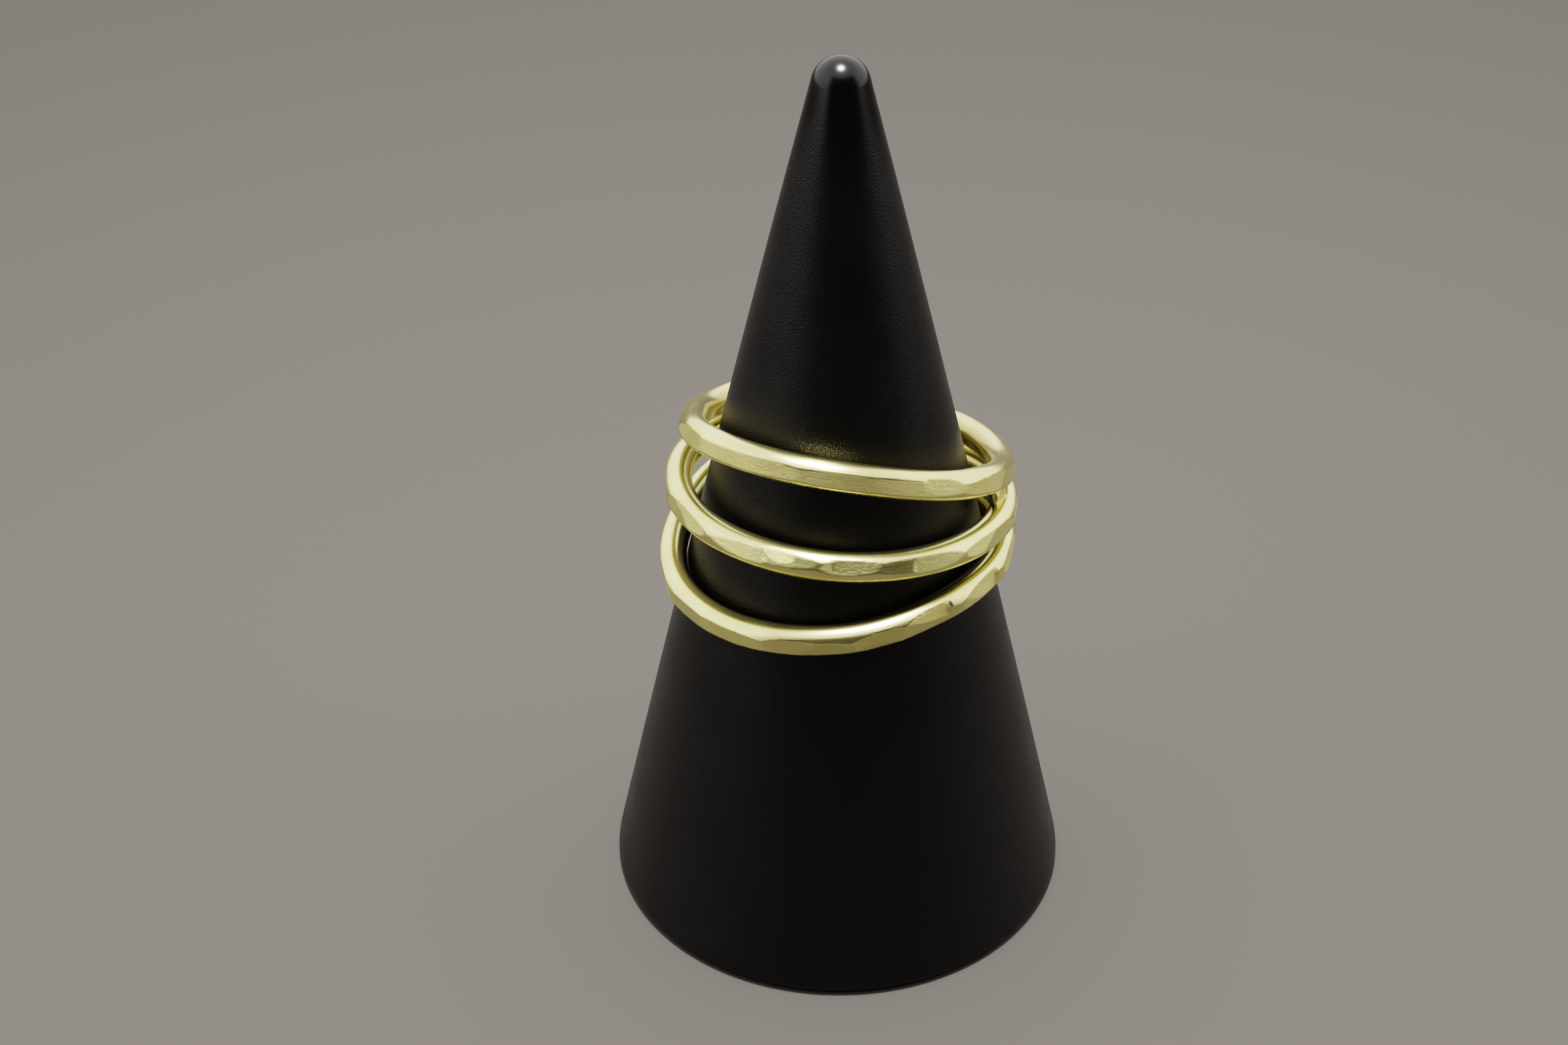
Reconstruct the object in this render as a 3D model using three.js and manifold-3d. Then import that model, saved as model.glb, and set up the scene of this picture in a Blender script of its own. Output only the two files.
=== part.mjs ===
// A wrap ring of hammered brass wire, resting on a small turned ring cone.
// Millimetres, +Z up. The origin is the centre of the cone's foot, and the front faces -Y.

import * as THREE from 'three';
import { mergeVertices } from 'three/addons/utils/BufferGeometryUtils.js';
import Module from 'manifold-3d';

const wasm = await Module();
wasm.setup();

// Sizes of the cone
const coneHeight = 50.8;
const footDiameter = 26.6;
const tipRadius = 1.52;
const sideSwell = 0.15;
const footEdgeRadius = 0.5;

// Sizes of the ring
const ringBore = 16.9;
const wireDiameter = 1.63;
const hammerDepth = 0.2;
const blowLength = 2.4;
const fanHeight = 5.25;

// Clearances
const seatGap = 0.05;
const strandGap = 0.16;

// Solder beads between neighbouring strands
const solderLength = 2.6;
const solderThickness = 0.95;

// Fineness of the faceted surfaces
const coneSides = 56;
const coneSideRows = 10;
const coneArcRows = 5;
const stationsPerTurn = 60;
const wireSides = 14;
const beadSides = 14;
const beadRings = 10;
const weldDistance = 1e-5;

// The wire's route from end to end, a row every eighth of a turn, counted from the front of the top
// strand towards +X. fan is the height over a plain close coil as a share of fanHeight, and reach the
// loop's radius as a share of the round loop's.
const routeRows = [
  { turn: -0.5, fan: 0.04, reach: 1.0 },
  { turn: -0.375, fan: 0.09, reach: 0.95 },
  { turn: -0.25, fan: 0.56, reach: 0.85 },
  { turn: -0.125, fan: 0.975, reach: 0.97 },
  { turn: 0, fan: 1.0, reach: 1.0 },
  { turn: 0.125, fan: 0.66, reach: 1.0 },
  { turn: 0.25, fan: 0.217, reach: 0.96 },
  { turn: 0.375, fan: 0.01, reach: 1.0 },
  { turn: 0.5, fan: 0.035, reach: 1.0 },
  { turn: 0.625, fan: 0.08, reach: 0.99 },
  { turn: 0.75, fan: 0.29, reach: 0.955 },
  { turn: 0.875, fan: 0.425, reach: 0.99 },
  { turn: 1, fan: 0.42, reach: 1.0 },
  { turn: 1.125, fan: 0.347, reach: 1.0 },
  { turn: 1.25, fan: 0.217, reach: 0.99 },
  { turn: 1.375, fan: 0.0, reach: 1.0 },
  { turn: 1.5, fan: 0.02, reach: 1.0 },
  { turn: 1.625, fan: 0.01, reach: 0.975 },
  { turn: 1.75, fan: -0.215, reach: 1.0 },
  { turn: 1.875, fan: -0.155, reach: 1.0 },
  { turn: 2, fan: 0.01, reach: 1.0 },
  { turn: 2.125, fan: 0.21, reach: 1.0 },
  { turn: 2.25, fan: 0.16, reach: 0.98 },
  { turn: 2.375, fan: 0.0, reach: 1.0 },
  { turn: 2.5, fan: 0.015, reach: 1.0 },
];
const startTurn = routeRows[0].turn;
const endTurn = routeRows[routeRows.length - 1].turn;

// The turn at which the plain coil would pass the height where the loop sits on the cone.
const seatTurn = 2.4;

// Each solder bead joins the strand at its turn to the one a turn later, and sits inset towards the finger.
const solderBeads = [
  { turn: -0.47, inset: 0 },
  { turn: 0.215, inset: 0.35 },
  { turn: 0.42, inset: 0 },
  { turn: 1.36, inset: 0 },
  { turn: 1.47, inset: 0 },
];

// Depths of the hammer blows as shares of hammerDepth, used over and over along the wire.
const blowShares = [1.0, 0.6, 0.85, 0.45, 0.95, 0.7, 0.9, 0.5, 0.8];

const footRadius = footDiameter / 2;
const wireRadius = wireDiameter / 2;
const loopRadius = ringBore / 2 + wireRadius;
const strandPitch = wireDiameter + strandGap;

const tipCentreHeight = coneHeight - tipRadius;
const halfAngle = Math.atan2(footRadius, tipCentreHeight)
  - Math.asin(tipRadius / Math.hypot(footRadius, tipCentreHeight));
const sideTopHeight = tipCentreHeight + tipRadius * Math.sin(halfAngle);

// The cone's radius at a height: a straight side with a slight swell at half height.
function coneRadius(height) {
  const share = height / sideTopHeight;
  return footRadius - height * Math.tan(halfAngle) + 4 * sideSwell * share * (1 - share);
}

// The height at which the cone has a radius, from the same straight side and swell.
function coneHeightAt(radius) {
  const curve = 4 * sideSwell / sideTopHeight ** 2;
  const slope = Math.tan(halfAngle) - 4 * sideSwell / sideTopHeight;
  const drop = footRadius - radius;
  return 2 * drop / (slope + Math.sqrt(slope ** 2 + 4 * curve * drop));
}

// A round loop of wire rests on the cone all round at this height.
const seatHeight = coneHeightAt(loopRadius - (wireRadius + seatGap) / Math.cos(halfAngle));
const routeShares = new THREE.CatmullRomCurve3(
  routeRows.map((row) => new THREE.Vector3(row.turn, row.fan, row.reach)),
  false,
  'catmullrom',
);

// Middle of the wire at a turn. Above the seat the loops lean back along the cone's front, and below it
// they widen with the cone.
function wireCentre(turn) {
  const shares = routeShares.getPoint((turn - startTurn) / (endTurn - startTurn));
  const height = seatHeight + strandPitch * (seatTurn - turn) + fanHeight * shares.y;
  const taper = coneRadius(seatHeight) - coneRadius(height);
  const radius = loopRadius * shares.z + Math.max(0, -taper);
  const angle = 2 * Math.PI * turn;
  return new THREE.Vector3(
    radius * Math.sin(angle),
    -radius * Math.cos(angle) + Math.max(0, taper),
    height,
  );
}

// The wire's own axes at a turn: along it, outward from the finger, and across.
function wireFrame(turn) {
  const halfStep = 0.5 / stationsPerTurn;
  const before = wireCentre(Math.max(turn - halfStep, startTurn));
  const along = wireCentre(Math.min(turn + halfStep, endTurn)).sub(before).normalize();
  const angle = 2 * Math.PI * turn;
  const outward = new THREE.Vector3(Math.sin(angle), -Math.cos(angle), 0);
  outward.addScaledVector(along, -outward.dot(along)).normalize();
  const across = new THREE.Vector3().crossVectors(along, outward);
  return { centre: wireCentre(turn), along, outward, across };
}

// How deep the hammer has flattened the outer side at a turn.
function flatDepth(turn) {
  const travelled = (turn - startTurn) * 2 * Math.PI * loopRadius;
  const blow = Math.floor(travelled / blowLength + 0.5);
  return hammerDepth * blowShares[blow % blowShares.length];
}

function closedMesh(geometry) {
  const bare = geometry.clone();
  bare.deleteAttribute('normal');
  bare.deleteAttribute('uv');
  return mergeVertices(bare, weldDistance);
}

function toSolid(geometry) {
  const closed = closedMesh(geometry);
  const mesh = new wasm.Mesh({
    numProp: 3,
    vertProperties: new Float32Array(closed.attributes.position.array),
    triVerts: new Uint32Array(closed.index.array),
  });
  return new wasm.Manifold(mesh);
}

function fromSolid(solid) {
  const mesh = solid.getMesh();
  const geometry = new THREE.BufferGeometry();
  geometry.setAttribute('position', new THREE.BufferAttribute(new Float32Array(mesh.vertProperties), 3));
  geometry.setIndex(new THREE.BufferAttribute(new Uint32Array(mesh.triVerts), 1));
  geometry.computeVertexNormals();
  return geometry;
}

// The hammered wire: a straight round bar, flattened blow by blow and bent along the route.
function makeWire() {
  const section = new THREE.Shape();
  section.absarc(0, 0, wireRadius, 0, 2 * Math.PI, false);
  const turns = endTurn - startTurn;
  const bar = new THREE.ExtrudeGeometry(section, {
    depth: turns,
    steps: Math.round(turns * stationsPerTurn),
    curveSegments: wireSides / 2,
    bevelEnabled: false,
  });
  const position = bar.attributes.position;
  for (let i = 0; i < position.count; i += 1) {
    const turn = Math.min(startTurn + position.getZ(i), endTurn);
    const frame = wireFrame(turn);
    const outer = Math.min(position.getX(i), wireRadius - flatDepth(turn));
    const point = frame.centre
      .addScaledVector(frame.outward, outer)
      .addScaledVector(frame.across, position.getY(i));
    position.setXYZ(i, point.x, point.y, point.z);
  }
  return bar;
}

// A bead of solder that fills the groove between two neighbouring strands.
function makeSolderBead({ turn, inset }) {
  const upper = wireFrame(turn);
  const lower = wireFrame(turn + 1);
  const centre = upper.centre.clone().add(lower.centre).multiplyScalar(0.5);
  centre.addScaledVector(upper.outward, -inset);
  const between = upper.centre.clone().sub(lower.centre);
  const bead = new THREE.SphereGeometry(0.5, beadSides, beadRings);
  bead.scale(solderLength, solderThickness, between.length());
  const upward = between.normalize();
  const along = upper.along.clone().addScaledVector(upward, -upper.along.dot(upward)).normalize();
  const outward = new THREE.Vector3().crossVectors(upward, along);
  bead.applyMatrix4(new THREE.Matrix4().makeBasis(along, outward, upward).setPosition(centre));
  return bead;
}

function makeRing() {
  let ring = toSolid(makeWire());
  for (const solderBead of solderBeads) {
    ring = ring.add(toSolid(makeSolderBead(solderBead)));
  }
  return fromSolid(ring);
}

// The cone's profile: flat foot, rounded foot edge, swelled side and round tip.
function makeCone() {
  const edgeTurn = Math.PI / 2 + halfAngle;
  const edgeTop = footEdgeRadius * (1 + Math.sin(halfAngle));
  const edgeCentre = coneRadius(edgeTop) - footEdgeRadius * Math.cos(halfAngle);
  const profile = [new THREE.Vector2(0, 0)];
  for (let i = 0; i <= coneArcRows; i += 1) {
    const angle = -Math.PI / 2 + edgeTurn * i / coneArcRows;
    profile.push(new THREE.Vector2(
      edgeCentre + footEdgeRadius * Math.cos(angle),
      footEdgeRadius * (1 + Math.sin(angle)),
    ));
  }
  for (let i = 1; i < coneSideRows; i += 1) {
    const height = edgeTop + (sideTopHeight - edgeTop) * i / coneSideRows;
    profile.push(new THREE.Vector2(coneRadius(height), height));
  }
  for (let i = 0; i < coneArcRows; i += 1) {
    const angle = halfAngle + (Math.PI / 2 - halfAngle) * i / coneArcRows;
    profile.push(new THREE.Vector2(
      tipRadius * Math.cos(angle),
      tipCentreHeight + tipRadius * Math.sin(angle),
    ));
  }
  profile.push(new THREE.Vector2(0, coneHeight));
  return new THREE.LatheGeometry(profile, coneSides).rotateX(Math.PI / 2);
}

const hammeredBrass = new THREE.MeshStandardMaterial({
  color: 0xcfc57c,
  metalness: 1,
  roughness: 0.3,
});
const blackLacquer = new THREE.MeshStandardMaterial({
  color: 0x17130f,
  metalness: 0,
  roughness: 0.4,
});

const ring = new THREE.Mesh(makeRing(), hammeredBrass);
ring.name = 'wrap_ring';
const cone = new THREE.Mesh(makeCone(), blackLacquer);
cone.name = 'display_cone';

const wrapRingOnCone = new THREE.Group();
wrapRingOnCone.add(cone, ring);

export default wrapRingOnCone;
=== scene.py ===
"""A hammered brass wrap ring on a black lacquered ring cone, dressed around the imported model."""

import math

import bmesh
import bpy
import numpy as np
from mathutils import Matrix, Vector, noise


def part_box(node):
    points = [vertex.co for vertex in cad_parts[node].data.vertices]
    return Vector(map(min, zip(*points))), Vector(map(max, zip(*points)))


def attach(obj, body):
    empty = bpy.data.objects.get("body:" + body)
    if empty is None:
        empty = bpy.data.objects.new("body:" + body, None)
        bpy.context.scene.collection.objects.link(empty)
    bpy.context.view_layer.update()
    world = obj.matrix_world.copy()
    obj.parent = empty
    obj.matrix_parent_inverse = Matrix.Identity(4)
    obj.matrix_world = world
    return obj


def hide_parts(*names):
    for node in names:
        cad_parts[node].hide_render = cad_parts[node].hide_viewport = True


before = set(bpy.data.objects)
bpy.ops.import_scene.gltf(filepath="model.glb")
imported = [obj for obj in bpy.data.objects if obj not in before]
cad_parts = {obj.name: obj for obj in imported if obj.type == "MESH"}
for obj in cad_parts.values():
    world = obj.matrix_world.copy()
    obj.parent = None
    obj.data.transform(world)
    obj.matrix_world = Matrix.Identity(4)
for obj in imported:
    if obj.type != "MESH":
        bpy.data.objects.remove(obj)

bl_info = {
    "name": "Hammered Wrap Ring",
    "version": (1, 0, 0),
    "blender": (4, 5, 0),
    "location": "3D View > Sidebar > Wrap Ring",
    "description": "Makes a hammered wire wrap ring, its ring cone and a soft studio",
    "category": "Object",
}

MM = 0.001
FOOT_LOW, TIP_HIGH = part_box("display_cone")

# The wire's route from end to end, a row every eighth of a turn, counted from the front of the top
# strand towards +X: height over a plain close coil as a share of the fan height, and the loop's radius
# as a share of the round loop's.
ROUTE_FIRST_TURN = -0.5
ROUTE_TURN_STEP = 0.125
ROUTE_FAN = (
    0.04, 0.09, 0.56, 0.975,
    1.0, 0.66, 0.217, 0.01, 0.035, 0.08, 0.29, 0.425,
    0.42, 0.347, 0.217, 0.0, 0.02, 0.01, -0.215, -0.155,
    0.01, 0.21, 0.16, 0.0, 0.015,
)
ROUTE_REACH = (
    1.0, 0.95, 0.85, 0.97,
    1.0, 1.0, 0.96, 1.0, 1.0, 0.99, 0.955, 0.99,
    1.0, 1.0, 0.99, 1.0, 1.0, 0.975, 1.0, 1.0,
    1.0, 1.0, 0.98, 1.0, 1.0,
)
SEAT_TURN = 2.4

# Each solder bead joins the strand at its turn to the one a turn later, and sits inset towards the
# finger by some millimetres.
SOLDER_BEADS = ((-0.47, 0), (0.215, 0.35), (0.42, 0), (1.36, 0), (1.47, 0))

# The hammer blows that show at the front. Each flat has its middle at a turn along the wire, is tilted
# up from level and swung towards the wire's lower end by some degrees, is as deep as given, and would
# run out to nothing at its length, both in millimetres, if its neighbours didn't cut it off. Its wear is
# how much rougher than the drawn wire it is.
FRONT_BLOWS = (
    # turn, tilt, swing, depth, length, wear
    (-0.300, 4, -4, 0.15, 4.0, 0.2),
    (-0.255, 0, 3, 0.19, 3.0, 0.3),
    (-0.215, 2, -5, 0.17, 3.0, 0.15),
    (-0.178, 10, 6, 0.14, 3.5, 0.3),
    (-0.115, 9, 1, 0.14, 9.0, 0.34),
    (-0.055, 12, -3, 0.12, 4.5, 0.26),
    (-0.012, 8, 1, 0.13, 7.0, 0.28),
    (0.055, 11, 0, 0.13, 8.0, 0.32),
    (0.097, 22, -7, 0.12, 2.6, 0.2),
    (0.145, 5, 2, 0.16, 6.5, 0.38),
    (0.205, 3, -3, 0.17, 5.0, 0.2),
    (0.275, 0, 3, 0.15, 4.0, 0.2),
    (0.730, -2, 2, 0.16, 4.0, 0.2),
    (0.775, 0, -4, 0.17, 3.4, 0.3),
    (0.815, 8, 5, 0.15, 3.0, 0.15),
    (0.855, 14, -5, 0.12, 3.6, 0.3),
    (0.897, 20, 4, 0.09, 3.4, 0.15),
    (0.932, 36, 5, 0.08, 2.4, 0.3),
    (0.966, 31, -3, 0.06, 3.6, 0.1),
    (0.994, 24, 2, 0.07, 2.6, 0.2),
    (1.022, 33, -4, 0.08, 3.0, 0.07),
    (1.054, 26, 1, 0.09, 4.4, 0.05),
    (1.095, 20, -5, 0.10, 3.2, 0.18),
    (1.130, 12, 4, 0.12, 3.4, 0.3),
    (1.170, 6, -3, 0.15, 3.8, 0.15),
    (1.215, 0, 3, 0.17, 3.4, 0.25),
    (1.265, 0, -2, 0.15, 4.0, 0.2),
    (1.700, -4, 0, 0.19, 4.4, 0.2),
    (1.745, -8, 3, 0.21, 4.6, 0.3),
    (1.790, -9, -3, 0.21, 4.6, 0.2),
    (1.835, -12, 2, 0.20, 4.6, 0.15),
    (1.893, -13, -1, 0.19, 6.5, 0.25),
    (1.945, -9, 5, 0.17, 3.4, 0.05),
    (1.975, -14, -5, 0.17, 2.4, 0.3),
    (1.993, -20, -4, 0.18, 3.8, 0.24),
    (2.020, -10, 9, 0.19, 3.0, 0.34),
    (2.043, -18, -6, 0.20, 3.0, 0.2),
    (2.064, 3, 10, 0.19, 3.2, 0.42),
    (2.092, -14, -6, 0.22, 4.2, 0.2),
    (2.126, 3, 10, 0.18, 3.4, 0.35),
    (2.152, -6, -3, 0.19, 4.0, 0.22),
    (2.190, 4, 5, 0.17, 3.8, 0.25),
    (2.230, -4, -3, 0.17, 3.6, 0.15),
    (2.270, -2, 3, 0.15, 4.0, 0.25),
)

# Where the hidden back is hammered too, and how: the stretches and the step between blows in turns, the
# ranges of depth and length in millimetres, the most tilt and swing in degrees, and the range of wear.
BACK_TURNS = ((-0.49, -0.32), (0.30, 0.71), (1.29, 1.67), (2.29, 2.49))
BACK_BLOW_STEP = 0.05
BACK_BLOW_DEPTH = (0.11, 0.19)
BACK_BLOW_LENGTH = (3.0, 5.5)
BACK_BLOW_TILT = 13
BACK_BLOW_SWING = 5
BACK_BLOW_WEAR = (0.1, 0.3)
BACK_BLOW_SEED = 11

# How a blow marks the wire: how far it is worked out, as a share of its length, the cosine of the steepest
# slant that it still flattens, and how far from the flat's rim the squeezed-up lip stands and how wide it
# is, both in heights of the lip.
BLOW_REACH = 1.2
BLOW_LEAST_FACING = 0.2
LIP_PLACE = 1.2
LIP_WIDTH = 1.2

# How much closer the wire's points lie on its hammered side, the rounding of its cut ends as shares of
# its radius, and the width of the unevenness in its flats.
SIDE_CROWDING = 0.45
END_ROUNDING = 0.55
END_NARROWING = 0.5
PITTING_WIDTH = 0.28 * MM

# The solder beads: their fineness, the height and closeness of their lumps, their wear, how far apart a
# turn puts them in the noise that shapes the lumps, and the scale of their surface map.
BEAD_SUBDIVISIONS = 5
BEAD_LUMP_HEIGHT = 0.12
BEAD_LUMP_RATE = 5
BEAD_WEAR = 0.3
BEAD_NOISE_SHIFT = 9
BEAD_MAP_SCALE = 2

# Points of a mesh that lie closer than this are one point.
WIRE_WELD = 0.001 * MM
CONE_WELD = 0.0005 * MM

# Place of the camera that took the view and its aim, its lens and sensor in millimetres, and the nearest
# and farthest that it sees in metres.
CAMERA_PLACE = Vector((-3.02, -109.32, 98.33)) * MM
CAMERA_PITCH = math.radians(34.48)
CAMERA_ROLL = math.radians(-0.604)
CAMERA_LENS = 55.1
CAMERA_SENSOR = 36.0
CAMERA_REACH = (0.005, 20.0)

# The lamp straight overhead, in metres and watts.
LAMP_HEIGHT = 0.25
LAMP_WIDTH = 0.045
LAMP_POWER = 0.85

# The room: its glow at each height from level to overhead, and its tint.
ROOM_GLOWS = ((0.0, 1.35), (0.25, 1.4), (0.6, 1.6), (1.0, 2.1))
ROOM_TINT = (1, 0.99, 0.97)

# The dim part of the room: its bearing, how near to it the dimness starts and is full, the heights
# between which it ends, and its colour.
DIM_BEARING = (0.17, -0.98, 0)
DIM_NEARNESS = (0.35, 0.7)
DIM_HEIGHTS = (0.84, 0.68)
DIM_COLOUR = (0.05, 0.046, 0.042, 1.0)


def linear(hex_colour):
    """An sRGB hex colour as linear red, green, blue and alpha."""
    channels = [int(hex_colour[i:i + 2], 16) / 255 for i in (0, 2, 4)]
    bent = [c / 12.92 if c <= 0.04045 else ((c + 0.055) / 1.055) ** 2.4 for c in channels]
    return (*bent, 1.0)


class WrapRingSizes(bpy.types.PropertyGroup):
    """Sizes and colours of the ring."""

    bore: bpy.props.FloatProperty(
        name="Bore", description="Width of the opening for the finger",
        default=16.9 * MM, unit="LENGTH", precision=5)
    wire: bpy.props.FloatProperty(
        name="Wire", description="Diameter of the wire before hammering",
        default=1.63 * MM, unit="LENGTH", precision=5)
    fan: bpy.props.FloatProperty(
        name="Fan", description="Rise of the top strand's front over a close coil",
        default=5.25 * MM, unit="LENGTH", precision=5)
    seat_gap: bpy.props.FloatProperty(
        name="Seat gap", description="Space between the wire and the cone",
        default=0.05 * MM, unit="LENGTH", precision=5)
    strand_gap: bpy.props.FloatProperty(
        name="Strand gap", description="Space between strands that lie side by side",
        default=0.16 * MM, unit="LENGTH", precision=5)
    edge: bpy.props.FloatProperty(
        name="Edge", description="Softness of the edges between hammered flats",
        default=0.016 * MM, unit="LENGTH", precision=6)
    lip: bpy.props.FloatProperty(
        name="Lip", description="Height of the metal that a blow squeezes up beside its flat",
        default=0.012 * MM, unit="LENGTH", precision=6)
    pitting: bpy.props.FloatProperty(
        name="Pitting", description="Unevenness that the hammer's face leaves in a flat",
        default=0.004 * MM, unit="LENGTH", precision=6)
    solder_length: bpy.props.FloatProperty(
        name="Solder length", description="Length of a solder bead along the wire",
        default=2.6 * MM, unit="LENGTH", precision=5)
    solder_thickness: bpy.props.FloatProperty(
        name="Solder thickness", description="Thickness of a solder bead across the ring's wall",
        default=0.95 * MM, unit="LENGTH", precision=5)
    stations: bpy.props.IntProperty(
        name="Stations", description="Cross-sections along the whole wire", default=1440)
    sides: bpy.props.IntProperty(
        name="Sides", description="Points round each cross-section", default=60)
    brass: bpy.props.FloatVectorProperty(
        name="Brass", description="Colour of the clean brass", subtype="COLOR",
        size=4, default=linear("efe7a4"))
    dull_brass: bpy.props.FloatVectorProperty(
        name="Dull brass", description="Colour of the brass where it has dulled", subtype="COLOR",
        size=4, default=linear("e0d695"))
    # Painted shade: a darker, duller brass that the material mixes in on the side of the wire facing the
    # cone, where shade falls.
    painted_shade_brass: bpy.props.FloatVectorProperty(
        name="Inner brass", description="Colour of the tarnished side towards the finger",
        subtype="COLOR", size=4, default=linear("bcb17a"))


class RingConeSizes(bpy.types.PropertyGroup):
    """Sizes and colours of the cone."""

    height: bpy.props.FloatProperty(
        name="Height", description="Height of the cone",
        default=TIP_HIGH.z - FOOT_LOW.z, unit="LENGTH", precision=5)
    foot: bpy.props.FloatProperty(
        name="Foot", description="Diameter of the foot, before its edge is rounded",
        default=26.6 * MM, unit="LENGTH", precision=5)
    tip: bpy.props.FloatProperty(
        name="Tip", description="Radius of the round tip",
        default=1.52 * MM, unit="LENGTH", precision=5)
    swell: bpy.props.FloatProperty(
        name="Swell", description="Swelling of the side at half height",
        default=0.15 * MM, unit="LENGTH", precision=5)
    foot_edge: bpy.props.FloatProperty(
        name="Foot edge", description="Radius of the rounded edge of the foot",
        default=0.52 * MM, unit="LENGTH", precision=5)
    sides: bpy.props.IntProperty(
        name="Sides", description="Points round the cone", default=256)
    lacquer: bpy.props.FloatVectorProperty(
        name="Lacquer", description="Colour of the black lacquer", subtype="COLOR",
        size=4, default=linear("080605"))


class StudioSizes(bpy.types.PropertyGroup):
    """Sizes and colours of the stage."""

    floor_width: bpy.props.FloatProperty(
        name="Floor width", description="Width of the plain floor", default=4.0, unit="LENGTH")
    floor_colour: bpy.props.FloatVectorProperty(
        name="Floor colour", description="Colour of the plain floor", subtype="COLOR",
        size=4, default=linear("5a5653"))


def add_node(tree, kind, inputs=None, **settings):
    """Adds a node with its settings. An input is a name or a place, with a value or a feeding socket."""
    node = tree.nodes.new(kind)
    for name, value in settings.items():
        setattr(node, name, value)
    for name, value in (inputs or {}).items():
        if isinstance(value, bpy.types.NodeSocket):
            tree.links.new(value, node.inputs[name])
        else:
            node.inputs[name].default_value = value
    return node


def new_material(name):
    """An empty material and its node tree."""
    material = bpy.data.materials.new(name)
    material.use_nodes = True
    material.node_tree.nodes.clear()
    return material, material.node_tree


def finish_surface(tree, shader):
    """Joins the shader to the material's output."""
    add_node(tree, "ShaderNodeOutputMaterial", {"Surface": shader.outputs["BSDF"]})


def finish_mesh(shape, name):
    """Turns a closed shape into a mesh with its faces outward, and lets the shape go."""
    bmesh.ops.recalc_face_normals(shape, faces=shape.faces)
    mesh = bpy.data.meshes.new(name)
    shape.to_mesh(mesh)
    shape.free()
    return mesh


def show(name, mesh, material):
    """Puts a finished mesh in the scene as a smooth object at the origin."""
    mesh.materials.append(material)
    piece = bpy.data.objects.new(name, mesh)
    bpy.context.scene.collection.objects.link(piece)
    for polygon in mesh.polygons:
        polygon.use_smooth = True
    return piece


class ConeSide:
    """The cone's outline, which the ring's seat follows too."""

    def __init__(self, sizes):
        self.foot = sizes.foot / 2
        self.swell = sizes.swell
        self.height = sizes.height
        self.tip = sizes.tip
        self.foot_edge = sizes.foot_edge
        self.tip_centre = sizes.height - sizes.tip
        self.half_angle = (math.atan2(self.foot, self.tip_centre)
                           - math.asin(self.tip / math.hypot(self.foot, self.tip_centre)))
        self.side_top = self.tip_centre + self.tip * math.sin(self.half_angle)

    def radius(self, height):
        """Radius at a height: a straight side with a slight swell at half height."""
        share = height / self.side_top
        return self.foot - height * math.tan(self.half_angle) + 4 * self.swell * share * (1 - share)

    def height_at(self, radius):
        """Height at which the side has a radius."""
        curve = 4 * self.swell / self.side_top ** 2
        slope = math.tan(self.half_angle) - 4 * self.swell / self.side_top
        drop = self.foot - radius
        return 2 * drop / (slope + math.sqrt(slope ** 2 + 4 * curve * drop))

    def profile(self):
        """Points of the outline from the middle of the foot to the tip."""
        edge_rows, side_rows, tip_rows = 8, 80, 18
        edge_top = self.foot_edge * (1 + math.sin(self.half_angle))
        edge_centre = self.radius(edge_top) - self.foot_edge * math.cos(self.half_angle)
        points = [(0.0, 0.0)]
        for i in range(edge_rows + 1):
            angle = -math.pi / 2 + (math.pi / 2 + self.half_angle) * i / edge_rows
            points.append((edge_centre + self.foot_edge * math.cos(angle),
                           self.foot_edge * (1 + math.sin(angle))))
        for i in range(1, side_rows):
            height = edge_top + (self.side_top - edge_top) * i / side_rows
            points.append((self.radius(height), height))
        for i in range(tip_rows):
            angle = self.half_angle + (math.pi / 2 - self.half_angle) * i / tip_rows
            points.append((self.tip * math.cos(angle), self.tip_centre + self.tip * math.sin(angle)))
        points.append((0.0, self.height))
        return points


def smooth_row(values, place):
    """Value at a place along an evenly spaced row, on a smooth curve through every value."""
    index = int(min(max(math.floor(place), 0), len(values) - 2))
    part = place - index
    here, after = values[index], values[index + 1]
    before = values[index - 1] if index > 0 else 2 * here - after
    beyond = values[index + 2] if index + 2 < len(values) else 2 * after - here
    slope_here = (after - before) / 2
    slope_after = (beyond - here) / 2
    square = -3 * here + 3 * after - 2 * slope_here - slope_after
    cube = 2 * here - 2 * after + slope_here + slope_after
    return ((cube * part + square) * part + slope_here) * part + here


class WireRoute:
    """The path of the wire's middle round the cone."""

    def __init__(self, ring, cone):
        self.ring = ring
        self.cone = cone
        self.wire = ring.wire / 2
        self.loop = ring.bore / 2 + self.wire
        self.pitch = ring.wire + ring.strand_gap
        self.first = ROUTE_FIRST_TURN
        self.last = ROUTE_FIRST_TURN + ROUTE_TURN_STEP * (len(ROUTE_FAN) - 1)
        self.seat = cone.height_at(self.loop - (self.wire + ring.seat_gap) / math.cos(cone.half_angle))

    def centre(self, turn):
        """Middle of the wire. Loops above the seat lean back along the cone, those below widen."""
        place = (turn - self.first) / ROUTE_TURN_STEP
        fan = self.ring.fan * smooth_row(ROUTE_FAN, place)
        height = self.seat + self.pitch * (SEAT_TURN - turn) + fan
        taper = self.cone.radius(self.seat) - self.cone.radius(height)
        radius = self.loop * smooth_row(ROUTE_REACH, place) + max(0.0, -taper)
        angle = 2 * math.pi * turn
        return Vector((radius * math.sin(angle), -radius * math.cos(angle) + max(0.0, taper), height))

    def frame(self, turn):
        """Middle of the wire, and its directions along, outward and across."""
        step = 0.002
        along = self.centre(min(turn + step, self.last)) - self.centre(max(turn - step, self.first))
        along.normalize()
        angle = 2 * math.pi * turn
        outward = Vector((math.sin(angle), -math.cos(angle), 0.0))
        outward = (outward - along * outward.dot(along)).normalized()
        return self.centre(turn), along, outward, along.cross(outward)


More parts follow.
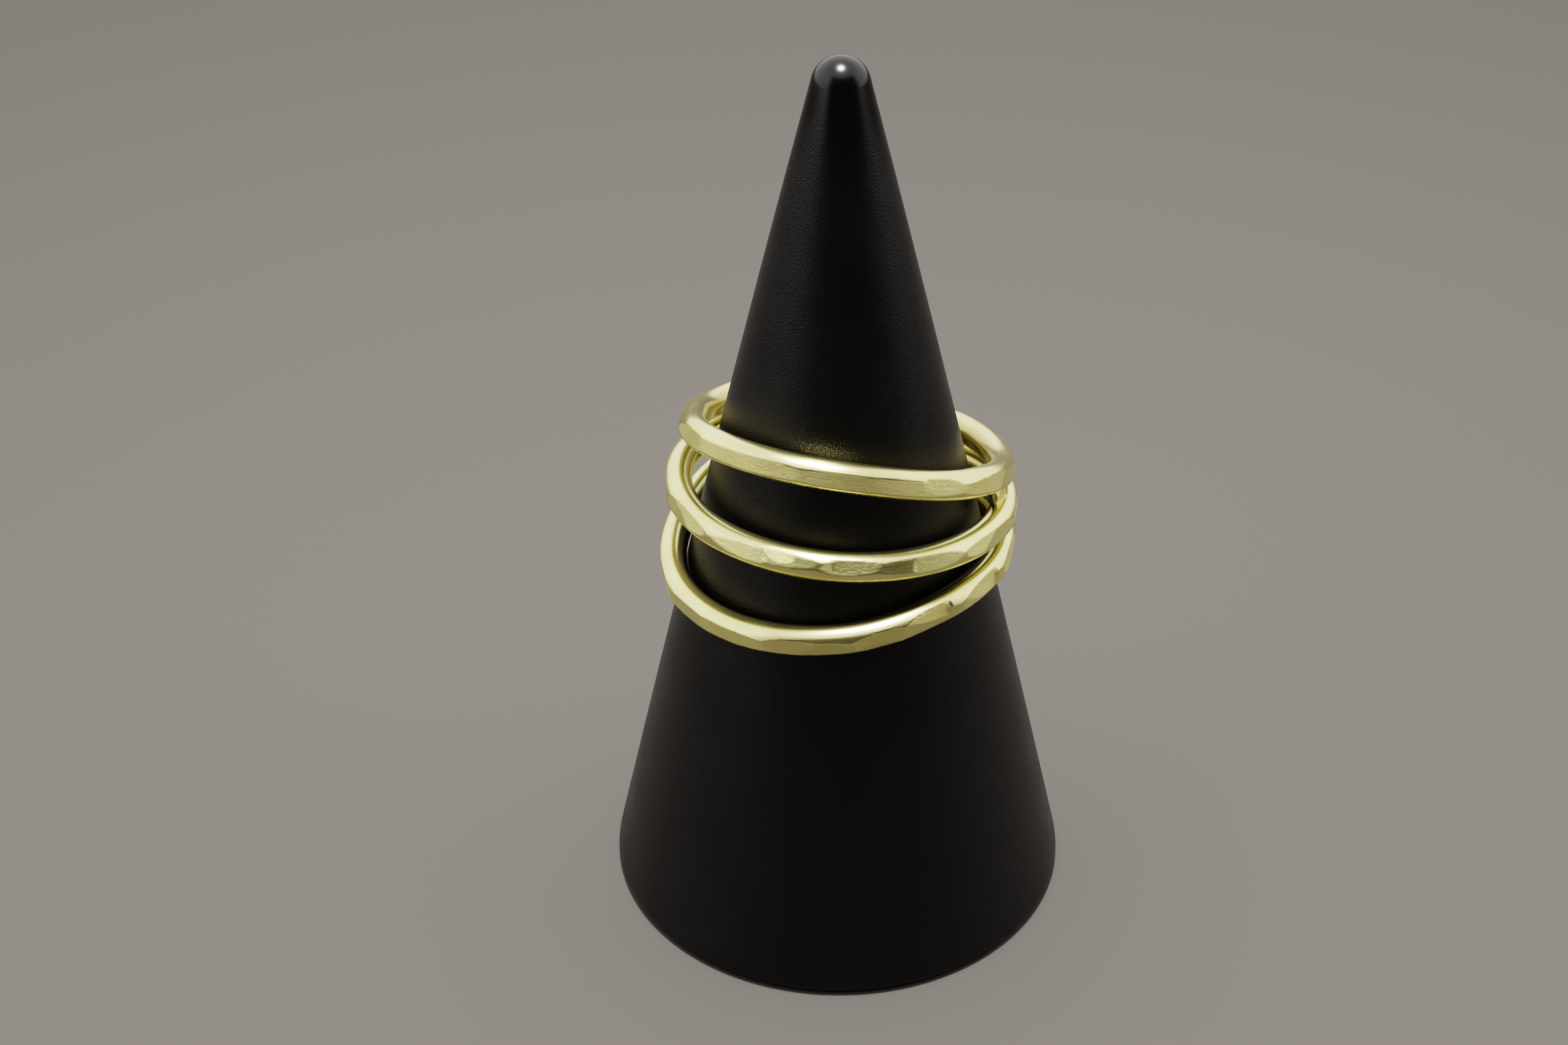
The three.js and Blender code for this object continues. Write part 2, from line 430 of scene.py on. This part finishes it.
def all_blows():
    """The blows that show, and even ones with seeded variation round the hidden back."""
    blows = list(FRONT_BLOWS)
    chance = np.random.default_rng(BACK_BLOW_SEED)
    for start, end in BACK_TURNS:
        count = max(2, round((end - start) / BACK_BLOW_STEP))
        for i in range(count):
            blows.append((
                start + (end - start) * (i + 0.5) / count,
                chance.uniform(-BACK_BLOW_TILT, BACK_BLOW_TILT),
                chance.uniform(-BACK_BLOW_SWING, BACK_BLOW_SWING),
                chance.uniform(*BACK_BLOW_DEPTH),
                chance.uniform(*BACK_BLOW_LENGTH),
                chance.uniform(*BACK_BLOW_WEAR),
            ))
    return blows


def soft_min(one, other, softness):
    """The lesser of two, rounded where they cross."""
    near = np.maximum(softness - np.abs(one - other), 0) / softness
    return np.minimum(one, other) - near ** 2 * softness / 4


def hammered_radii(wire, lengths, turns, angles, ring):
    """Distance from the wire's middle to its hammered surface for each station and side, how far each
    point lies inside a flat, from 0 to 1, and the wear of that flat."""
    radii = np.full((len(turns), len(angles)), wire)
    cut = np.zeros_like(radii)
    lips = np.zeros_like(radii)
    wear = np.zeros_like(radii)
    never = 10 * wire
    for turn, tilt, swing, depth, length, wear_here in all_blows():
        half = length * MM / 2
        past = lengths - np.interp(turn, turns, lengths)
        rows = np.where(np.abs(past) < half * BLOW_REACH)[0]
        level = wire - depth * MM * (1 - (past[rows] / half) ** 2)
        level = level - math.tan(math.radians(swing)) * past[rows]
        facing = np.cos(angles + math.radians(tilt))
        cut_off = level[:, None] / np.maximum(facing, BLOW_LEAST_FACING)[None]
        flat = np.where(facing > BLOW_LEAST_FACING, cut_off, never)
        depth_here = wire - flat
        from_lip = (depth_here / ring.lip + LIP_PLACE) / LIP_WIDTH
        lips[rows] = np.maximum(lips[rows], np.exp(-from_lip ** 2))
        wear[rows] = np.where(depth_here > cut[rows], wear_here, wear[rows])
        cut[rows] = np.maximum(cut[rows], depth_here)
        radii[rows] = soft_min(radii[rows], flat, ring.edge)
    in_flat = np.clip(cut / (2 * ring.edge), 0, 1)
    radii += ring.lip * lips * (1 - in_flat)
    return radii, in_flat, wear


def make_wire_mesh(route, ring):
    """The hammered wire: a long sheet rolled to a bar, bent along the route and hammered."""
    sides, stations = ring.sides, ring.stations
    skin = bmesh.new()
    bmesh.ops.create_grid(skin, x_segments=stations, y_segments=sides, size=0.5)
    places = np.array([vert.co for vert in skin.verts])
    station = np.rint((places[:, 0] + 0.5) * stations).astype(int)
    side = np.rint((places[:, 1] + 0.5) * sides).astype(int)

    even = np.arange(sides + 1) * 2 * math.pi / sides
    angles = even - SIDE_CROWDING * np.sin(even)
    turns = np.linspace(route.first, route.last, stations + 1)
    frames = np.array([[tuple(v) for v in route.frame(turn)] for turn in turns])
    lengths = np.concatenate(([0], np.cumsum(np.linalg.norm(np.diff(frames[:, 0], axis=0), axis=1))))
    radii, in_flat, wear = hammered_radii(route.wire, lengths, turns, angles, ring)

    to_end = np.minimum(lengths, lengths[-1] - lengths)
    part = np.clip(1 - to_end / (END_ROUNDING * route.wire), 0, 1)
    narrowed = 1 - np.sqrt(np.clip(1 - part ** 2, 0.0, 1))
    radii *= (1 - narrowed * END_NARROWING)[:, None]

    layer = skin.loops.layers.uv.new("wire")
    girth = route.wire * 2 * math.pi
    for face in skin.faces:
        for loop in face.loops:
            row, column = station[loop.vert.index], side[loop.vert.index]
            loop[layer].uv = (lengths[row] / MM, girth * column / sides / MM)
    hammered = skin.verts.layers.float.new("hammered")
    worn = skin.verts.layers.float.new("worn")
    inner = skin.verts.layers.float.new("inner")
    for i, vert in enumerate(skin.verts):
        row, column = station[i], side[i]
        vert[hammered] = in_flat[row, column]
        vert[worn] = wear[row, column] * in_flat[row, column]
        # How far a point faces inward, towards the cone: the material paints shade there.
        vert[inner] = max(0.0, -math.cos(angles[column]))
        centre, _, outward, across = frames[row]
        turned = math.cos(angles[column]) * outward + math.sin(angles[column]) * across
        radius = radii[row, column]
        if in_flat[row, column] > 0:
            spot = Vector(centre + turned * radius) / PITTING_WIDTH
            radius += ring.pitting * in_flat[row, column] * noise.noise(spot)
        vert.co = Vector(centre + turned * radius)
    bmesh.ops.remove_doubles(skin, verts=skin.verts, dist=WIRE_WELD)
    rims = [edge for edge in skin.edges if edge.is_boundary]
    bmesh.ops.holes_fill(skin, edges=rims, sides=sides)
    return finish_mesh(skin, "wrap_ring_hammered")


def make_bead_mesh(route, ring):
    """The solder beads that fill the grooves between neighbouring strands, lumpy and dull as they froze."""
    beads = bmesh.new()
    layer = beads.loops.layers.uv.new("wire")
    worn = beads.verts.layers.float.new("worn")
    for turn, inset in SOLDER_BEADS:
        upper, along, away, _ = route.frame(turn)
        lower = route.frame(turn + 1)[0]
        between = upper - lower
        centre = (upper + lower) / 2 - away * inset * MM
        upward = between.normalized()
        along = (along - upward * along.dot(upward)).normalized()
        outward = upward.cross(along)
        made = bmesh.ops.create_icosphere(beads, subdivisions=BEAD_SUBDIVISIONS, radius=0.5)
        sized = Matrix.Diagonal((ring.solder_length, ring.solder_thickness, between.length, 1))
        turned = Matrix((along, outward, upward)).transposed().to_4x4()
        shift = Vector((turn * BEAD_NOISE_SHIFT, 0, 0))
        for vert in made["verts"]:
            vert[worn] = BEAD_WEAR
            for loop in vert.link_loops:
                loop[layer].uv = (BEAD_MAP_SCALE * vert.co.x, BEAD_MAP_SCALE * vert.co.z)
            vert.co *= 1 + BEAD_LUMP_HEIGHT * noise.noise(vert.co * BEAD_LUMP_RATE + shift)
        moved = Matrix.Translation(centre) @ turned @ sized
        bmesh.ops.transform(beads, matrix=moved, verts=made["verts"])
    return finish_mesh(beads, "solder_beads")


def make_cone_mesh(cone):
    """The cone: a sheet with a row for each point of the outline, rolled round the axis."""
    profile = ConeSide(cone).profile()
    rows = len(profile) - 1
    skin = bmesh.new()
    bmesh.ops.create_grid(skin, x_segments=rows, y_segments=cone.sides, size=0.5)
    for vert in skin.verts:
        radius, height = profile[round((vert.co.x + 0.5) * rows)]
        angle = 2 * math.pi * round((vert.co.y + 0.5) * cone.sides) / cone.sides
        vert.co = (radius * math.cos(angle), radius * math.sin(angle), height)
    bmesh.ops.remove_doubles(skin, verts=skin.verts, dist=CONE_WELD)
    return finish_mesh(skin, "lacquered_ring_cone")


def fuse(piece, added_mesh):
    """Joins another closed mesh to a piece as one body."""
    added = bpy.data.objects.new("added", added_mesh)
    bpy.context.scene.collection.objects.link(added)
    join = piece.modifiers.new("fuse", "BOOLEAN")
    join.operation = "UNION"
    join.solver = "MANIFOLD"
    join.object = added
    with bpy.context.temp_override(object=piece, active_object=piece):
        bpy.ops.object.modifier_apply(modifier=join.name)
    bpy.data.objects.remove(added)


def hammered_brass(ring):
    """Drawn brass wire, hammered and brushed: a satin metal whose fine lines along the wire spread the
    highlights across it, with rougher, pitted flats, dull patches between clean ones, and painted shade on
    the side towards the finger and the cone: a darker, duller brass mixed in there."""
    material, tree = new_material("hammered_brass")
    wire_map = add_node(tree, "ShaderNodeUVMap", uv_map="wire").outputs["UV"]
    place = add_node(tree, "ShaderNodeTexCoord").outputs["Object"]
    in_flat = add_node(tree, "ShaderNodeAttribute", attribute_name="hammered").outputs["Fac"]
    worn = add_node(tree, "ShaderNodeAttribute", attribute_name="worn").outputs["Fac"]
    # Brushed lines, coarser than the real ones so that they show. The wire's map is in millimetres.
    line_length, line_spacing, line_depth = 4.0, 0.0625, 0.01 * MM
    stretched = add_node(tree, "ShaderNodeMapping", {
        "Vector": wire_map, "Scale": (1 / line_length, 1 / line_spacing, 1.0)})
    lines = add_node(tree, "ShaderNodeTexNoise",
                     {"Vector": stretched.outputs["Vector"], "Scale": 1.0, "Detail": 3.0})
    # The shallow pits that the hammer's worn face leaves.
    pit_width, pit_drop = 0.25, 0.022 * MM
    pits = add_node(tree, "ShaderNodeTexNoise",
                    {"Vector": wire_map, "Scale": 1 / pit_width, "Detail": 3.0, "Roughness": 0.6})
    # Dull patches, some millimetres across, and painted shade towards the finger, on the side that faces
    # the cone.
    patches_per_metre = 1 / (2.2 * MM)
    patches = add_node(tree, "ShaderNodeTexNoise",
                       {"Vector": place, "Scale": patches_per_metre, "Detail": 4.0})
    dullness = add_node(tree, "ShaderNodeMapRange",
                        {"Value": patches.outputs["Fac"], "From Min": 0.4, "From Max": 0.75})
    rubbed = add_node(tree, "ShaderNodeMix", {
        0: dullness.outputs["Result"],
        6: ring.brass[:],
        7: ring.dull_brass[:],
    }, data_type="RGBA")
    inner = add_node(tree, "ShaderNodeAttribute", attribute_name="inner").outputs["Fac"]
    # Painted shade: the side facing the cone is mixed towards the darker inner brass.
    painted_inner_shade = add_node(tree, "ShaderNodeMapRange", {
        "Value": inner, "From Min": 0.15, "From Max": 0.75}, interpolation_type="SMOOTHSTEP")
    colour = add_node(tree, "ShaderNodeMix", {
        0: painted_inner_shade.outputs["Result"],
        6: rubbed.outputs[2],
        7: ring.painted_shade_brass[:],
    }, data_type="RGBA")
    smoothest, roughest = 0.2, 0.28
    satin = add_node(tree, "ShaderNodeMapRange", {
        "Value": lines.outputs["Fac"], "From Min": 0.3, "From Max": 0.7,
        "To Min": smoothest, "To Max": roughest})
    roughness = add_node(tree, "ShaderNodeMath", {0: satin.outputs["Result"], 1: worn}, operation="ADD")
    line_bump = add_node(tree, "ShaderNodeBump", {
        "Height": lines.outputs["Fac"], "Strength": 0.3, "Distance": line_depth})
    pit_depth = add_node(tree, "ShaderNodeMath", {0: pits.outputs["Fac"], 1: in_flat},
                         operation="MULTIPLY")
    bump = add_node(tree, "ShaderNodeBump", {
        "Height": pit_depth.outputs["Value"], "Strength": 1.0, "Distance": pit_drop,
        "Normal": line_bump.outputs["Normal"]})
    along = add_node(tree, "ShaderNodeTangent", direction_type="UV_MAP", uv_map="wire")
    shader = add_node(tree, "ShaderNodeBsdfPrincipled", {
        "Base Color": colour.outputs[2],
        "Metallic": 1.0,
        "Roughness": roughness.outputs["Value"],
        "Anisotropic": 0.45,
        "Anisotropic Rotation": 0.25,
        "Tangent": along.outputs["Tangent"],
        "Normal": bump.outputs["Normal"],
    })
    finish_surface(tree, shader)
    return material


def black_lacquer(cone):
    """Turned wood sprayed with black satin lacquer: near black, with the grainy orange peel of a sprayed
    coat, which breaks reflections into specks, and a thicker, glossier coat on the tip."""
    material, tree = new_material("black_lacquered_wood")
    place = add_node(tree, "ShaderNodeTexCoord").outputs["Object"]
    smoothest, roughest = 0.3, 0.4
    tip_gloss, tip_grain = 0.68, 0.15
    grain_depth = 0.023 * MM
    grains_per_metre = 1 / (0.075 * MM)
    peel = add_node(tree, "ShaderNodeTexNoise",
                    {"Vector": place, "Scale": grains_per_metre, "Detail": 1.0, "Roughness": 0.5})
    clouds_per_metre = 1 / (3.5 * MM)
    clouds = add_node(tree, "ShaderNodeTexNoise",
                      {"Vector": place, "Scale": clouds_per_metre, "Detail": 3.0})
    height = add_node(tree, "ShaderNodeSeparateXYZ", {"Vector": place}).outputs["Z"]
    to_tip = add_node(tree, "ShaderNodeMapRange", {
        "Value": height, "From Min": cone.height - 4 * cone.tip, "From Max": cone.height - cone.tip,
    }, interpolation_type="SMOOTHSTEP").outputs["Result"]
    satin = add_node(tree, "ShaderNodeMapRange", {
        "Value": clouds.outputs["Fac"], "From Min": 0.3, "From Max": 0.7,
        "To Min": smoothest, "To Max": roughest})
    gloss = add_node(tree, "ShaderNodeMapRange", {"Value": to_tip, "To Min": 1.0, "To Max": tip_gloss})
    roughness = add_node(tree, "ShaderNodeMath", {
        0: satin.outputs["Result"],
        1: gloss.outputs["Result"],
    }, operation="MULTIPLY")
    smoothing = add_node(tree, "ShaderNodeMapRange", {
        "Value": to_tip, "To Min": 1.0, "To Max": tip_grain})
    grain = add_node(tree, "ShaderNodeMath", {
        0: peel.outputs["Fac"],
        1: smoothing.outputs["Result"],
    }, operation="MULTIPLY")
    bump = add_node(tree, "ShaderNodeBump", {
        "Height": grain.outputs["Value"], "Strength": 1.0, "Distance": grain_depth})
    shader = add_node(tree, "ShaderNodeBsdfPrincipled", {
        "Base Color": cone.lacquer[:],
        "Roughness": roughness.outputs["Value"],
        "Normal": bump.outputs["Normal"],
        "IOR": 1.5,
    })
    finish_surface(tree, shader)
    return material


def plain_floor(studio):
    """Matt card: one even pale tone."""
    material, tree = new_material("plain_floor")
    shader = add_node(tree, "ShaderNodeBsdfPrincipled", {
        "Base Color": studio.floor_colour[:],
        "Roughness": 0.9,
        "Specular IOR Level": 0.1,
    })
    finish_surface(tree, shader)
    return material


class WRAPRING_OT_make_ring(bpy.types.Operator):
    """Makes the hammered ring with its solder as one body"""

    bl_idname = "wrapring.make_ring"
    bl_label = "Make Ring"

    def execute(self, context):
        ring = context.scene.wrap_ring
        route = WireRoute(ring, ConeSide(context.scene.ring_cone))
        piece = show("hammered_wrap_ring", make_wire_mesh(route, ring), hammered_brass(ring))
        fuse(piece, make_bead_mesh(route, ring))
        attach(piece, "root")
        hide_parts("wrap_ring")
        return {"FINISHED"}


class WRAPRING_OT_make_cone(bpy.types.Operator):
    """Makes the lacquered ring cone that the ring rests on"""

    bl_idname = "wrapring.make_cone"
    bl_label = "Make Cone"

    def execute(self, context):
        cone = context.scene.ring_cone
        piece = show("lacquered_ring_cone", make_cone_mesh(cone), black_lacquer(cone))
        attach(piece, "root")
        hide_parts("display_cone")
        return {"FINISHED"}


def make_lamp():
    """A small round lamp straight overhead, which leaves no shadow beside the cone."""
    lamp = bpy.data.lights.new("overhead_lamp", "AREA")
    lamp.shape = "DISK"
    lamp.size = LAMP_WIDTH
    lamp.energy = LAMP_POWER
    holder = bpy.data.objects.new("overhead_lamp", lamp)
    holder.location = (0, 0, LAMP_HEIGHT)
    bpy.context.scene.collection.objects.link(holder)


def make_camera():
    """The camera at the viewing angle of the reference view."""
    data = bpy.data.cameras.new("view_camera")
    data.lens = CAMERA_LENS
    data.sensor_width = CAMERA_SENSOR
    data.sensor_fit = "HORIZONTAL"
    data.clip_start, data.clip_end = CAMERA_REACH
    camera = bpy.data.objects.new("view_camera", data)
    look_down = Matrix.Rotation(math.pi / 2 - CAMERA_PITCH, 4, "X")
    roll = Matrix.Rotation(CAMERA_ROLL, 4, "Z")
    camera.matrix_world = Matrix.Translation(CAMERA_PLACE) @ look_down @ roll
    bpy.context.scene.collection.objects.link(camera)
    bpy.context.scene.camera = camera


def make_surroundings():
    """A plain room for the metal to mirror: bright overhead and behind, dim low down in front."""
    world = bpy.data.worlds.new("soft_room")
    world.use_nodes = True
    tree = world.node_tree
    tree.nodes.clear()
    direction = add_node(tree, "ShaderNodeTexCoord").outputs["Generated"]
    height = add_node(tree, "ShaderNodeSeparateXYZ", {"Vector": direction}).outputs["Z"]
    level = add_node(tree, "ShaderNodeVectorMath", {0: direction, 1: (1, 1, 0)}, operation="MULTIPLY")
    bearing = add_node(tree, "ShaderNodeVectorMath", {0: level.outputs[0]}, operation="NORMALIZE")
    nearness = add_node(tree, "ShaderNodeVectorMath", {0: bearing.outputs[0], 1: DIM_BEARING},
                        operation="DOT_PRODUCT")
    in_front = add_node(tree, "ShaderNodeMapRange", {
        "Value": nearness.outputs["Value"], "From Min": DIM_NEARNESS[0], "From Max": DIM_NEARNESS[1],
    }, interpolation_type="SMOOTHSTEP")
    low = add_node(tree, "ShaderNodeMapRange", {
        "Value": height, "From Min": DIM_HEIGHTS[0], "From Max": DIM_HEIGHTS[1],
    }, interpolation_type="SMOOTHSTEP")
    dim = add_node(tree, "ShaderNodeMath", {
        0: in_front.outputs["Result"], 1: low.outputs["Result"]}, operation="MULTIPLY")
    ramp = add_node(tree, "ShaderNodeValToRGB", {"Fac": height})
    for place, glow in ROOM_GLOWS:
        stop = ramp.color_ramp.elements.new(place)
        stop.color = (*(glow * part for part in ROOM_TINT), 1)
    ramp.color_ramp.elements.remove(ramp.color_ramp.elements[0])
    room = add_node(tree, "ShaderNodeMix", {
        0: dim.outputs["Value"],
        6: ramp.outputs["Color"],
        7: DIM_COLOUR,
    }, data_type="RGBA")
    light = add_node(tree, "ShaderNodeBackground", {"Color": room.outputs[2]})
    add_node(tree, "ShaderNodeOutputWorld", {"Surface": light.outputs["Background"]})
    bpy.context.scene.world = world


class WRAPRING_OT_make_stage(bpy.types.Operator):
    """Makes the plain floor, the soft lights and the camera"""

    bl_idname = "wrapring.make_stage"
    bl_label = "Make Stage"

    def execute(self, context):
        studio = context.scene.ring_studio
        flat = bmesh.new()
        bmesh.ops.create_grid(flat, x_segments=1, y_segments=1, size=studio.floor_width / 2)
        mesh = bpy.data.meshes.new("floor")
        flat.to_mesh(mesh)
        flat.free()
        floor = show("floor", mesh, plain_floor(studio))
        make_lamp()
        make_surroundings()
        make_camera()
        context.scene.view_settings.view_transform = "Filmic"
        context.scene.view_settings.look = "High Contrast"
        return {"FINISHED"}


class WRAPRING_PT_panel(bpy.types.Panel):
    """Lists the sizes and the pieces in the sidebar"""

    bl_label = "Wrap Ring"
    bl_idname = "WRAPRING_PT_panel"
    bl_space_type = "VIEW_3D"
    bl_region_type = "UI"
    bl_category = "Wrap Ring"

    def draw(self, context):
        groups = (
            (context.scene.wrap_ring, "wrapring.make_ring"),
            (context.scene.ring_cone, "wrapring.make_cone"),
            (context.scene.ring_studio, "wrapring.make_stage"),
        )
        for group, operator in groups:
            box = self.layout.box()
            for name in group.bl_rna.properties.keys():
                if name not in ("rna_type", "name"):
                    box.prop(group, name)
            box.operator(operator)


CLASSES = (
    WrapRingSizes,
    RingConeSizes,
    StudioSizes,
    WRAPRING_OT_make_ring,
    WRAPRING_OT_make_cone,
    WRAPRING_OT_make_stage,
    WRAPRING_PT_panel,
)


def register():
    """Registers the classes and puts their sizes on the scene."""
    for item in CLASSES:
        bpy.utils.register_class(item)
    bpy.types.Scene.wrap_ring = bpy.props.PointerProperty(type=WrapRingSizes)
    bpy.types.Scene.ring_cone = bpy.props.PointerProperty(type=RingConeSizes)
    bpy.types.Scene.ring_studio = bpy.props.PointerProperty(type=StudioSizes)


def unregister():
    """Takes the sizes and classes away again."""
    del bpy.types.Scene.ring_studio
    del bpy.types.Scene.ring_cone
    del bpy.types.Scene.wrap_ring
    for item in reversed(CLASSES):
        bpy.utils.unregister_class(item)


def main():
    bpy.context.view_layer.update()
    register()
    bpy.ops.wrapring.make_stage()
    bpy.ops.wrapring.make_cone()
    bpy.ops.wrapring.make_ring()


if __name__ == "__main__":
    main()
